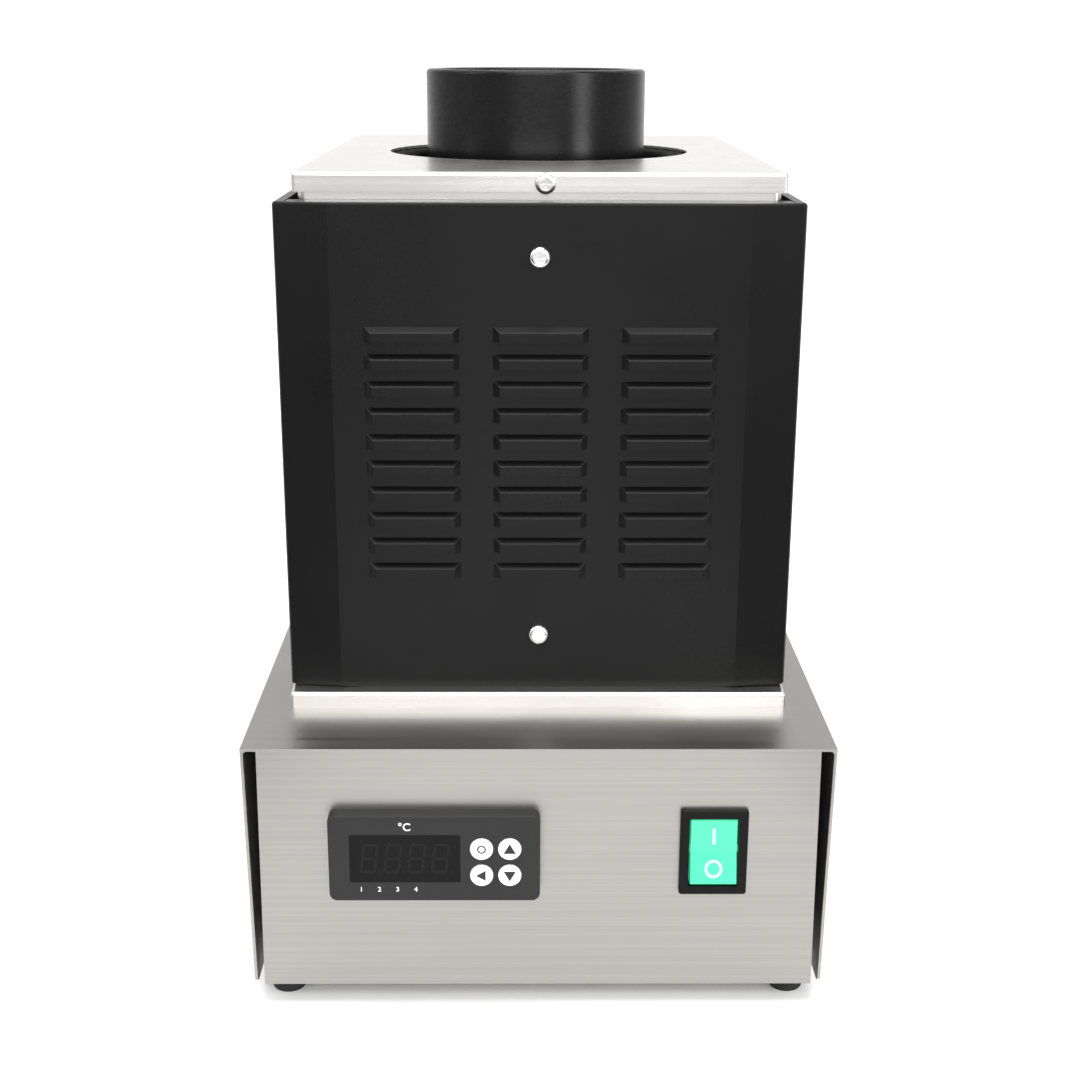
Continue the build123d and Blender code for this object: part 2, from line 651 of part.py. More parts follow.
with BuildPart() as terminal_inserts:
    # brass inserts with their clamping screws
    with BuildSketch(Plane.XZ.offset(-(TB_Y - 13))):
        with Locations((TB_X, Z0 + 13)):
            with GridLocations(15, 1, 3, 1):
                Rectangle(6.6, 6.6)
                Circle(1.95, mode=Mode.SUBTRACT)
    extrude(amount=-26)
    with BuildSketch(Plane.XY.offset(Z0 + 16.25)):
        with Locations((TB_X, TB_Y)):
            with GridLocations(15, 16, 3, 2):
                Circle(2.3)
    extrude(amount=3.2)
save(terminal_inserts.part, "terminal_inserts")

EARTH = (5.0, Y0 + 285)
with BuildPart() as earth_stud:
    with BuildSketch(Plane.XY.offset(Z0 + SHEET)):
        with Locations(EARTH):
            Circle(2.0)
    extrude(amount=16)
    with BuildSketch(Plane.XY.offset(Z0 + SHEET)):
        with Locations(EARTH):
            RegularPolygon(4.0, 6)
    extrude(amount=3.2)
    with BuildSketch(Plane.XY.offset(Z0 + SHEET + 6.2)):
        with Locations(EARTH):
            RegularPolygon(4.0, 6)
    extrude(amount=3.2)
save(earth_stud.part, "earth_stud")

# ------------------------------------------------------------------ bottom plate and inner case
CY1 = BODY_Y1 - COLLAR_OUT
CY2 = BODY_Y2 + COLLAR_OUT
with BuildPart() as bottom_plate:
    with BuildSketch(Plane.XY.offset(DECK)):
        with Locations((0, BODY_YC)):
            Rectangle(COLLAR_W, CY2 - CY1)
    extrude(amount=COLLAR_H)
    fillet(bottom_plate.edges().filter_by(Axis.Z), 1.2)
    fillet(bottom_plate.edges().group_by(Axis.Z)[-1], 1.4)
    with BuildSketch(Plane.XY.offset(DECK)):
        with Locations((0, BODY_YC)):
            RectangleRounded(COLLAR_W - 2 * SHEET, CY2 - CY1 - 2 * SHEET, 0.6)
    extrude(amount=COLLAR_H - SHEET, mode=Mode.SUBTRACT)
    with BuildSketch(Plane.XY.offset(DECK - 1)):
        with Locations(*BOLTS):
            Circle(2.25)
        with Locations(*LEADS):
            Circle(2.9)
    extrude(amount=10, mode=Mode.SUBTRACT)
save(bottom_plate.part, "bottom_plate")

CZ = DECK + COLLAR_H
CASE_YC = (CASE_Y1 + CASE_Y2) / 2
CASE_D = CASE_Y2 - CASE_Y1
SHX = BODY_W / 2
PORTS = [(TAIL_X, CZ + 33.5), (-TAIL_X, CZ + 154.5), (THERMO_X, CZ + 100.0)]   # x, z of the holes in the rear wall
with BuildPart() as inner_case:
    with BuildSketch(Plane.XY.offset(CZ)):
        with Locations((0, CASE_YC)):
            RectangleRounded(CASE_W, CASE_D, 3.0)
            RectangleRounded(CASE_W - 2 * SHEET, CASE_D - 2 * SHEET, 2.0, mode=Mode.SUBTRACT)
    extrude(amount=CASE_TOP - CZ)
    # flange at the bottom, turned inwards
    with BuildSketch(Plane.XY.offset(CZ)):
        with Locations((0, CASE_YC)):
            RectangleRounded(CASE_W, CASE_D, 3.0)
            RectangleRounded(CASE_W - 48, CASE_D - 48, 6.0, mode=Mode.SUBTRACT)
    extrude(amount=SHEET)
    with BuildSketch(Plane.XY.offset(CZ - 1)):
        with Locations(*BOLTS):
            Circle(2.25)
    extrude(amount=4, mode=Mode.SUBTRACT)
    # shield screws, front to back and side to side; the two top plate screws
    with BuildSketch(Plane.XZ.offset(-(CASE_Y1 - 2))):
        with Locations((0, SHIELD_SCREW_Z[0]), (0, SHIELD_SCREW_Z[1]), (2, CAP_TOP - 3.8)):
            Circle(1.65)
    extrude(amount=-(CASE_D + 4), mode=Mode.SUBTRACT)
    with BuildSketch(Plane.YZ.offset(-CASE_W / 2 - 2)):
        with Locations((BODY_YC, SHIELD_SCREW_Z[0]), (BODY_YC, SHIELD_SCREW_Z[1])):
            Circle(1.65)
    extrude(amount=CASE_W + 4, mode=Mode.SUBTRACT)
    # ports for the heater tails and the thermocouple
    with BuildSketch(Plane.XZ.offset(-(CASE_Y2 - 5))):
        with Locations(*PORTS):
            Circle(4.1)
    extrude(amount=-10, mode=Mode.SUBTRACT)
save(inner_case.part, "inner_case")

with BuildPart() as body_bolts:
    for x, y in BOLTS:
        with BuildSketch(Plane.XY.offset(CZ + SHEET)):
            with Locations((x, y)):
                Circle(3.6)
        extrude(amount=2.6)
        with BuildSketch(Plane.XY.offset(CZ + SHEET)):
            with Locations((x, y)):
                Circle(2.0)
        extrude(amount=-14.5)
save(body_bolts.part, "body_bolts")

with BuildPart() as body_nuts:
    with BuildSketch(Plane.XY.offset(DECK - SHEET)):
        with Locations(*BOLTS):
            RegularPolygon(4.0, 6)
            Circle(2.02, mode=Mode.SUBTRACT)
    extrude(amount=-3.2)

with BuildPart() as hex_nuts:
    add([foot_nuts.part, inlet_nuts.part, body_nuts.part])
save(hex_nuts.part, "hex_nuts")

# ------------------------------------------------------------------ insulation, muffle, heater
FL_Z1, FL_Z2 = CZ + SHEET + 0.1, CZ + 21.0
LIN_Z2 = CASE_TOP - 21.6
FIB_W, FIB_D = CASE_W - 2 * SHEET - 0.6, CASE_D - 2 * SHEET - 0.6
MUF_TOP = CASE_TOP - 0.1
with BuildPart() as floor_board:
    with BuildSketch(Plane.XY.offset(FL_Z1)):
        with Locations((0, CASE_YC)):
            RectangleRounded(FIB_W, FIB_D, 2.0)
    extrude(amount=FL_Z2 - FL_Z1)
    with BuildSketch(Plane.XY.offset(FL_Z1)):
        with Locations(*BOLTS):
            Circle(5.0)
    extrude(amount=4.0, mode=Mode.SUBTRACT)
save(floor_board.part, "floor_board")

with BuildPart() as fibre_lining:
    with BuildSketch(Plane.XY.offset(FL_Z2)):
        with Locations((0, CASE_YC)):
            RectangleRounded(FIB_W, FIB_D, 2.0)
            Circle(LINING_R, mode=Mode.SUBTRACT)
    extrude(amount=LIN_Z2 - FL_Z2)
    with BuildSketch(Plane.XZ.offset(-(CASE_YC + LINING_R - 8))):
        with Locations(*PORTS):
            Circle(4.0)
    extrude(amount=-80, mode=Mode.SUBTRACT)
save(fibre_lining.part, "fibre_lining")

with BuildPart() as top_board:
    with BuildSketch(Plane.XY.offset(LIN_Z2)):
        with Locations((0, CASE_YC)):
            RectangleRounded(FIB_W, FIB_D, 2.0)
            Circle(MUFFLE_RO + 0.3, mode=Mode.SUBTRACT)
    extrude(amount=CASE_TOP - LIN_Z2)
    with BuildSketch(Plane.XY.offset(MUF_TOP - 5.5)):
        with Locations((0, CASE_YC)):
            Circle(68.5)
    extrude(amount=10, mode=Mode.SUBTRACT)
save(top_board.part, "top_board")

with BuildPart() as muffle_tube:
    with BuildSketch(Plane.XY.offset(FL_Z2)):
        with Locations((0, CASE_YC)):
            Circle(MUFFLE_RO)
    extrude(amount=MUF_TOP - FL_Z2)
    with BuildSketch(Plane.XY.offset(MUF_TOP)):
        with Locations((0, CASE_YC)):
            Circle(68.0)
    extrude(amount=-5.2)
    with BuildSketch(Plane.XY.offset(FL_Z2)):
        with Locations((0, CASE_YC)):
            Circle(MUFFLE_RI)
    extrude(amount=MUF_TOP - FL_Z2, mode=Mode.SUBTRACT)
    fillet([e for e in muffle_tube.edges().group_by(Axis.Z)[-1] if e.length < 2 * pi * 60], 2.0)
save(muffle_tube.part, "muffle_tube")

COIL_Z1 = PORTS[0][1]
TURNS = 10 + 30 / 360         # starts 15 degrees to one side of the back, ends 15 degrees to the other
COIL_H = COIL_PITCH * TURNS
coil_path = Pos(0, CASE_YC, COIL_Z1) * Rot(0, 0, 75) * Helix(pitch=COIL_PITCH, height=COIL_H, radius=COIL_R)
with BuildPart() as heating_coil:
    with BuildSketch(Plane(origin=coil_path @ 0, z_dir=coil_path % 0)):
        Circle(WIRE_D / 2)
    sweep(path=coil_path, is_frenet=True)
save(heating_coil.part, "heating_coil")

TAIL_Y = CASE_YC + COIL_R * sin(radians(75)) + WIRE_D / 2 + 0.4
with BuildPart() as coil_tails:
    # straight ends of the heating wire, out through the back of the case
    with BuildSketch(Plane.XZ.offset(-TAIL_Y)):
        with Locations(*PORTS[:2]):
            Circle(WIRE_D / 2)
    extrude(amount=-(CASE_Y2 + 5.8 - TAIL_Y))
save(coil_tails.part, "coil_tails")

with BuildPart() as tail_bushings:
    with BuildSketch(Plane.XZ.offset(-(CASE_YC + LINING_R + 2))):
        with Locations(*PORTS[:2]):
            Circle(3.9)
            Circle(1.7, mode=Mode.SUBTRACT)
    extrude(amount=-(CASE_Y2 + 0.8 - CASE_YC - LINING_R - 2))
save(tail_bushings.part, "tail_bushings")

with BuildPart() as tail_connectors:
    # brass blocks that clamp the tails to the heater leads
    with BuildSketch(Plane.XZ.offset(-(CASE_Y2 + 1.0))):
        with Locations(*PORTS[:2]):
            Rectangle(6, 8)
            Circle(1.65, mode=Mode.SUBTRACT)
    extrude(amount=-5.4)
save(tail_connectors.part, "tail_connectors")

with BuildPart() as thermocouple:
    with BuildSketch(Plane.XZ.offset(-(CASE_YC + MUFFLE_RO + 0.5))):
        with Locations(PORTS[2]):
            Circle(2.6)
    extrude(amount=-(CASE_Y2 + 0.3 - CASE_YC - MUFFLE_RO - 0.5))
    with BuildSketch(Plane.XZ.offset(-(CASE_Y2 + 0.3))):
        with Locations(PORTS[2]):
            Circle(5.0)
    extrude(amount=-5.7)
save(thermocouple.part, "thermocouple")

with BuildPart() as lead_bushings:
    # ceramic tubes through the bottom plate and the deck
    with BuildSketch(Plane.XY.offset(DECK - 4)):
        with Locations(*LEADS):
            Circle(2.8)
            Circle(1.6, mode=Mode.SUBTRACT)
    extrude(amount=COLLAR_H + 7)
save(lead_bushings.part, "lead_bushings")

# ------------------------------------------------------------------ leads inside the furnace
RELAY_TOP = Z0 + 40.4
PIN_Y = REAR_Y - 28.0
SW_TY = PANEL_Y + 34.0
CT_Y = CB + 9.0


def leads_along(label, radius, cap, *routes):
    """Insulated leads, each along straight runs joined by tangent arcs."""
    with BuildPart() as leads:
        for pts in routes:
            bends = [min(r, cap) for r in radii(pts)]
            with BuildLine() as run:
                FilletPolyline(*pts, radius=bends)
            with BuildSketch(Plane(origin=pts[0], z_dir=Vector(pts[1]) - Vector(pts[0]))):
                Circle(radius)
            sweep(path=run.line)
            print(label, "length", round(sum(e.length for e in run.edges()), 1), "radii", [round(r, 1) for r in bends])
    return leads.part


heater_pair = leads_along("heater", 1.5, 25,
         [(TAIL_X, LEAD_Y, PORTS[0][1] - 4), (TAIL_X, LEAD_Y, Z0 + 60),
          (SINK_X - 14, SINK_Y + 23.5, Z0 + 62), (SINK_X - 14, SINK_Y + 23.5, RELAY_TOP)],
         [(-TAIL_X, LEAD_Y, PORTS[1][1] - 4), (-TAIL_X, LEAD_Y, Z0 + 50),
          (TB_X, TB_Y + 38, Z0 + 13), (TB_X, TB_Y + 13, Z0 + 13)])
mains_pair = leads_along("mains", 1.5, 25,
         [(INLET_X + 7, PIN_Y, INLET_Z - 1.5), (INLET_X + 7, PIN_Y - 14, INLET_Z - 1.5),
          (84, PIN_Y - 62, Z0 + 74), (84, PANEL_Y + 100, Z0 + 73.9),
          (SW_X + 6, SW_TY + 26, SW_Z + 7), (SW_X + 6, SW_TY, SW_Z + 7)],
         [(INLET_X - 7, PIN_Y, INLET_Z - 1.5), (INLET_X - 7, PIN_Y - 14, INLET_Z - 1.5),
          (77, PIN_Y - 72, Z0 + 74), (77, PANEL_Y + 100, Z0 + 73.9),
          (SW_X - 6, SW_TY + 26, SW_Z + 7), (SW_X - 6, SW_TY, SW_Z + 7)])
switched_pair = leads_along("switched", 1.5, 20,
         [(SW_X + 6, SW_TY, SW_Z - 7), (SW_X + 6, SW_TY + 26, SW_Z - 7), (77, Y0 + 110, Z0 + 50),
          (77, Y0 + 165, Z0 + 57), (SINK_X + 14, SINK_Y + 23.5, Z0 + 62), (SINK_X + 14, SINK_Y + 23.5, RELAY_TOP)],
         [(SW_X - 6, SW_TY, SW_Z - 7), (SW_X - 6, SW_TY + 22, SW_Z - 7), (8, Y0 + 125, Z0 + 30),
          (TB_X, TB_Y - 42, Z0 + 13), (TB_X, TB_Y - 13, Z0 + 13)])
with BuildPart() as power_leads:
    add([heater_pair, mains_pair, switched_pair])
save(power_leads.part, "power_leads")
save(leads_along("thermocouple", 1.2, 25,
         [(THERMO_X, LEAD_Y, PORTS[2][1] - 5), (THERMO_X, LEAD_Y, Z0 + 62),
          (CTRL_X + 3.75, CT_Y + 60, CTRL_Z + 5.5), (CTRL_X + 3.75, CT_Y, CTRL_Z + 5.5)]), "thermocouple_lead")
save(leads_along("control", 1.2, 15,
         [(CTRL_X + 18.75, CT_Y, CTRL_Z - 5.5), (CTRL_X + 18.75, CT_Y + 26, CTRL_Z - 5.5),
          (SINK_X - 14, SINK_Y - 23.5, Z0 + 66), (SINK_X - 14, SINK_Y - 23.5, RELAY_TOP)],
         [(CTRL_X + 26.25, CT_Y, CTRL_Z - 5.5), (CTRL_X + 26.25, CT_Y + 18, CTRL_Z - 5.5),
          (SINK_X + 14, SINK_Y - 23.5, Z0 + 66), (SINK_X + 14, SINK_Y - 23.5, RELAY_TOP)]), "control_leads")
save(leads_along("earth", 1.5, 15,
         [(INLET_X, PIN_Y, INLET_Z + 2.5), (INLET_X, PIN_Y - 18, INLET_Z + 2.5), (28, PIN_Y - 24, Z0 + 62),
          (EARTH[0], EARTH[1], Z0 + 44), (EARTH[0], EARTH[1], Z0 + SHEET + 16)]), "earth_lead")

PED_Z2 = CRUC_TOP - CRUC_H
with BuildPart() as chamber_floor:
    with BuildSketch(Plane.XY.offset(FL_Z2)):
        with Locations((0, CASE_YC)):
            Circle(MUFFLE_RI - 1.5)
    extrude(amount=PED_Z2 - FL_Z2)
    fillet(chamber_floor.edges().group_by(Axis.Z)[-1], 2.0)
save(chamber_floor.part, "chamber_floor")

with BuildPart() as crucible:
    with BuildSketch(Plane.XZ.offset(-CASE_YC)):
        with BuildLine():
            Polyline((CRUC_X, PED_Z2), (CRUC_X + CRUC_R, PED_Z2), (CRUC_X + CRUC_R, CRUC_TOP),
                     (CRUC_X + CRUC_RI_TOP, CRUC_TOP), (CRUC_X + CRUC_RI_LOW, PED_Z2 + CRUC_FLOOR),
                     (CRUC_X, PED_Z2 + CRUC_FLOOR), close=True)
        make_face()
    revolve(axis=Axis((CRUC_X, CASE_YC, 0), (0, 0, 1)))
    fillet([e for e in crucible.edges().filter_by(GeomType.CIRCLE) if abs(e.center().Z - CRUC_TOP) < 0.01], 1.5)
    fillet([e for e in crucible.edges().filter_by(GeomType.CIRCLE) if abs(e.center().Z - PED_Z2 - CRUC_FLOOR) < 0.01], 9)
    fillet([e for e in crucible.edges().filter_by(GeomType.CIRCLE) if abs(e.center().Z - PED_Z2) < 0.01], 3)
save(crucible.part, "crucible")

# ------------------------------------------------------------------ louvred heat shields
SZ1, SZ2 = SHIELD_Z1, SHIELD_Z2
SHIELD_H = SZ2 - SZ1


def front_back_shield(sy):
    """One of the two bent shields; sy = -1 for the front, +1 for the rear."""
    face = BODY_Y1 if sy < 0 else BODY_Y2
    d = -sy                       # direction from the outside face towards the furnace
    plane = front if sy < 0 else rear
    xe = SHX - 0.2
    with BuildPart() as shield:
        with BuildSketch(Plane.XY.offset(SZ1)):
            with BuildLine():
                Polyline((-xe, face + d * WING_BACK), (-SEAM_X, face), (SEAM_X, face),
                         (xe, face + d * WING_BACK), (xe - 0.1, face + d * (WING_BACK + SHEET)),
                         (SEAM_X - 0.05, face + d * SHEET), (-SEAM_X + 0.05, face + d * SHEET),
                         (-xe + 0.1, face + d * (WING_BACK + SHEET)), close=True)
            make_face()
        extrude(amount=SHIELD_H)
        corners = [e for e in shield.edges() if e.length < 1.2 and abs(e.center().X) > SHX - 1.0]
        fillet(corners, 2.0)
        for z, reach in ((SZ2 - SHEET, FLANGE_TOP), (SZ1, FLANGE_LOW)):
            with BuildSketch(Plane.XY.offset(z)):
                with BuildLine():
                    Polyline((-SHX + 4.3, face + d * (WING_BACK + 0.3)), (-SEAM_X, face + d * 0.5),
                             (SEAM_X, face + d * 0.5), (SHX - 4.3, face + d * (WING_BACK + 0.3)),
                             (SHX - 4.6, face + d * reach), (-SHX + 4.6, face + d * reach), close=True)
                make_face()
            extrude(amount=SHEET)
        roll = [e for e in shield.edges() if e.length > 12 and abs(e.center().Z - SZ2) < 0.01
                and abs(e.center().Y - face) < WING_BACK / 2 + 0.05]
        fillet(roll, 0.8)
        grid = [plane((c - 1) * LOUVRE_COL + (0.4 if sy < 0 else 0.0), face,
                      LOUVRE_TOP - LOUVRE_H - r * LOUVRE_PITCH).location
                for c in range(3) for r in range(LOUVRE_ROWS)]
        with Locations(*grid):
            add(louvre_outer.part)
        with Locations(*grid):
            add(louvre_inner.part, mode=Mode.SUBTRACT)
        with BuildSketch(plane(0, face + d * 3, SZ1)):
            with Locations(*[(0, z - SZ1) for z in SHIELD_SCREW_Z]):
                Circle(1.8)
        extrude(amount=6, mode=Mode.SUBTRACT)
    return shield.part


save(front_back_shield(-1), "front_shield")
save(front_back_shield(1), "rear_shield")


def side_shield(sx):
    y1, y2 = BODY_Y1 + WING_BACK + SHEET + 0.2, BODY_Y2 - WING_BACK - SHEET - 0.2
    plane = left if sx < 0 else right
    with BuildPart() as shield:
        with BuildSketch(Plane.XZ.offset(-y1)):
            with BuildLine():
                Polyline((sx * SHX, SZ1), (sx * SHX, SZ2), (sx * (SHX - SIDE_LIP), SZ2),
                         (sx * (SHX - SIDE_LIP), SZ2 - SHEET), (sx * (SHX - SHEET), SZ2 - SHEET),
                         (sx * (SHX - SHEET), SZ1 + SHEET), (sx * (SHX - SIDE_LIP), SZ1 + SHEET),
                         (sx * (SHX - SIDE_LIP), SZ1), close=True)
            make_face()
            fillet([v for v in vertices() if abs(abs(v.X) - SHX) < 0.01], 1.2)
        extrude(amount=-(y2 - y1))
        grid = [plane(sx * SHX, BODY_YC + c * 58.0, LOUVRE_TOP - LOUVRE_H - r * LOUVRE_PITCH).location
                for c in (-1.5, -0.5, 0.5, 1.5) for r in range(LOUVRE_ROWS)]
        with Locations(*grid):
            add(louvre_outer.part)
        with Locations(*grid):
            add(louvre_inner.part, mode=Mode.SUBTRACT)
        with BuildSketch(plane(sx * (SHX - 3), BODY_YC, SZ1)):
            with Locations(*[(0, z - SZ1) for z in SHIELD_SCREW_Z]):
                Circle(1.8)
        extrude(amount=6, mode=Mode.SUBTRACT)
    return shield.part


save(side_shield(-1), "left_shield")
save(side_shield(1), "right_shield")

FB_GAP = CASE_Y1 - BODY_Y1 - SHEET        # air gap behind the front and rear shields
SIDE_GAP = SHX - SHEET - CASE_W / 2       # air gap behind the side shields
with BuildPart() as shield_spacers:
    for z in SHIELD_SCREW_Z:
        for pl, n in ((front(0, BODY_Y1 + SHEET, z), FB_GAP), (rear(0, BODY_Y2 - SHEET, z), FB_GAP),
                      (left(-SHX + SHEET, BODY_YC, z), SIDE_GAP), (right(SHX - SHEET, BODY_YC, z), SIDE_GAP)):
            with BuildSketch(pl):
                Circle(4.0)
                Circle(1.8, mode=Mode.SUBTRACT)
            extrude(amount=-n)
save(shield_spacers.part, "shield_spacers")

with BuildPart() as shield_screws:
    for z in SHIELD_SCREW_Z:
        for pl, n in ((front(0, BODY_Y1, z), FB_GAP), (rear(0, BODY_Y2, z), FB_GAP),
                      (left(-SHX, BODY_YC, z), SIDE_GAP), (right(SHX, BODY_YC, z), SIDE_GAP)):
            with Locations(pl.location):
                add(pan_screw.part)
            with BuildSketch(pl):
                Circle(1.6)
            extrude(amount=-(n + 2 * SHEET - 0.1))
save(shield_screws.part, "shield_screws")

# ------------------------------------------------------------------ top plate
with BuildPart() as top_plate:
    with BuildSketch(Plane.XY.offset(CAP_TOP - CAP_SKIRT)):
        with Locations((0, (CAP_Y1 + CAP_Y2) / 2)):
            Rectangle(CAP_W, CAP_Y2 - CAP_Y1)
    extrude(amount=CAP_SKIRT)
    fillet(top_plate.edges().filter_by(Axis.Z), 1.2)
    fillet(top_plate.edges().group_by(Axis.Z)[-1], 1.3)
    with BuildSketch(Plane.XY.offset(CAP_TOP - SHEET)):
        with Locations((0, (CAP_Y1 + CAP_Y2) / 2)):
            RectangleRounded(CAP_W - 2 * SHEET, CAP_Y2 - CAP_Y1 - 2 * SHEET, 0.6)
    extrude(amount=-CAP_SKIRT, mode=Mode.SUBTRACT)
    with BuildSketch(Plane.XY.offset(CAP_TOP)):
        with Locations((0.5, BODY_YC)):
            Circle(HOLE_R)
    extrude(amount=-2, mode=Mode.SUBTRACT)
    with BuildSketch(Plane.XZ.offset(-(CAP_Y1 - 2))):
        with Locations((2, CAP_TOP - 3.8)):
            Circle(1.8)
    extrude(amount=-(CAP_Y2 - CAP_Y1 + 4), mode=Mode.SUBTRACT)
save(top_plate.part, "top_plate")

with BuildPart() as top_plate_screws:
    for pl in (front(2, CAP_Y1, CAP_TOP - 3.8), rear(2, CAP_Y2, CAP_TOP - 3.8)):
        with Locations(pl.location):
            add(pan_screw.part)
        with BuildSketch(pl):
            Circle(1.6)
        extrude(amount=-2.4)
save(top_plate_screws.part, "top_plate_screws")
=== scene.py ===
import math
import bpy
from mathutils import Matrix, Vector
from mathutils.bvhtree import BVHTree
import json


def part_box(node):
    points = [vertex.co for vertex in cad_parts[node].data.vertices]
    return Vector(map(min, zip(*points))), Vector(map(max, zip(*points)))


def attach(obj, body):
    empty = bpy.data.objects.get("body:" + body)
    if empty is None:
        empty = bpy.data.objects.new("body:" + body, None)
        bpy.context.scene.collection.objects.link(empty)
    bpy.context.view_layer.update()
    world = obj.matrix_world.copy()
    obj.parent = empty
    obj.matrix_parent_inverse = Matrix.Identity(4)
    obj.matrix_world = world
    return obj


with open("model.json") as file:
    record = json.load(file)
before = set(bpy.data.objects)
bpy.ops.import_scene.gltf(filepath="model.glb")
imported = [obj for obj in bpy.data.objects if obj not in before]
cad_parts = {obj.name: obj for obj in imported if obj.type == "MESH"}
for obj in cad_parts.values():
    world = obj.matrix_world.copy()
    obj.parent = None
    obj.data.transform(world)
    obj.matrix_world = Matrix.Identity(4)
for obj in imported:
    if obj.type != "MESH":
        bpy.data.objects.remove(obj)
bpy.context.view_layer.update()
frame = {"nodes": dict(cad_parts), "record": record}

scene = bpy.context.scene
nodes = frame["nodes"]


# ------------------------------------------------------------------ materials
def surface(name, color, metal=0.0, rough=0.4, spec=0.5, grain=(300, 300, 300), grain_side=None, col_var=0.06,
            rough_var=0.06, bump=0.05, smudge=0.03, coat=0.0, emit=None, emit_strength=0.0, depth=0.0002):
    """A procedural finish: fine grain for colour, roughness and relief, and broad faint patches of sheen."""
    mat = bpy.data.materials.new(name)
    mat.use_nodes = True
    nt = mat.node_tree
    new, link = nt.nodes.new, nt.links.new
    shader = nt.nodes["Principled BSDF"]
    coord = new("ShaderNodeTexCoord")

    def noise(scale, detail=4.0):
        mapping = new("ShaderNodeMapping")
        mapping.inputs["Scale"].default_value = scale
        link(coord.outputs["Object"], mapping.inputs["Vector"])
        tex = new("ShaderNodeTexNoise")
        tex.inputs["Scale"].default_value = 1.0
        tex.inputs["Detail"].default_value = detail
        link(mapping.outputs["Vector"], tex.inputs["Vector"])
        return tex.outputs["Fac"]

    fine = noise(grain)
    if grain_side:
        split = new("ShaderNodeSeparateXYZ")
        link(coord.outputs["Normal"], split.inputs["Vector"])
        side = new("ShaderNodeMath")
        side.operation = "ABSOLUTE"
        link(split.outputs["X"], side.inputs[0])
        over = new("ShaderNodeMath")
        over.operation = "GREATER_THAN"
        over.inputs[1].default_value = 0.7
        link(side.outputs[0], over.inputs[0])
        both = new("ShaderNodeMix")
        link(over.outputs[0], both.inputs[0])
        link(fine, both.inputs[2])
        link(noise(grain_side), both.inputs[3])
        fine = both.outputs[0]
    broad = noise((14, 14, 14), 2.0)

    tone = new("ShaderNodeMapRange")
    tone.inputs["From Min"].default_value = 0.3
    tone.inputs["From Max"].default_value = 0.7
    tone.inputs["To Min"].default_value = 1 - col_var
    tone.inputs["To Max"].default_value = 1 + col_var
    link(fine, tone.inputs["Value"])
    tint = new("ShaderNodeVectorMath")
    tint.operation = "SCALE"
    tint.inputs[0].default_value = color
    link(tone.outputs["Result"], tint.inputs["Scale"])
    link(tint.outputs["Vector"], shader.inputs["Base Color"])

    fine_r = new("ShaderNodeMapRange")
    fine_r.inputs["From Min"].default_value = 0.3
    fine_r.inputs["From Max"].default_value = 0.7
    fine_r.inputs["To Min"].default_value = max(rough - rough_var, 0.03)
    fine_r.inputs["To Max"].default_value = min(rough + rough_var, 1)
    link(fine, fine_r.inputs["Value"])
    broad_r = new("ShaderNodeMapRange")
    broad_r.inputs["From Min"].default_value = 0.35
    broad_r.inputs["From Max"].default_value = 0.65
    broad_r.inputs["To Min"].default_value = -smudge
    broad_r.inputs["To Max"].default_value = smudge
    link(broad, broad_r.inputs["Value"])
    total = new("ShaderNodeMath")
    total.operation = "ADD"
    link(fine_r.outputs["Result"], total.inputs[0])
    link(broad_r.outputs["Result"], total.inputs[1])
    link(total.outputs[0], shader.inputs["Roughness"])

    relief = new("ShaderNodeBump")
    relief.inputs["Strength"].default_value = bump
    relief.inputs["Distance"].default_value = depth
    link(fine, relief.inputs["Height"])
    link(relief.outputs["Normal"], shader.inputs["Normal"])

    shader.inputs["Metallic"].default_value = metal
    shader.inputs["Specular IOR Level"].default_value = spec
    shader.inputs["Coat Weight"].default_value = coat
    shader.inputs["Coat Roughness"].default_value = 0.12
    if emit:
        shader.inputs["Emission Color"].default_value = (*emit, 1)
        shader.inputs["Emission Strength"].default_value = emit_strength
    return mat


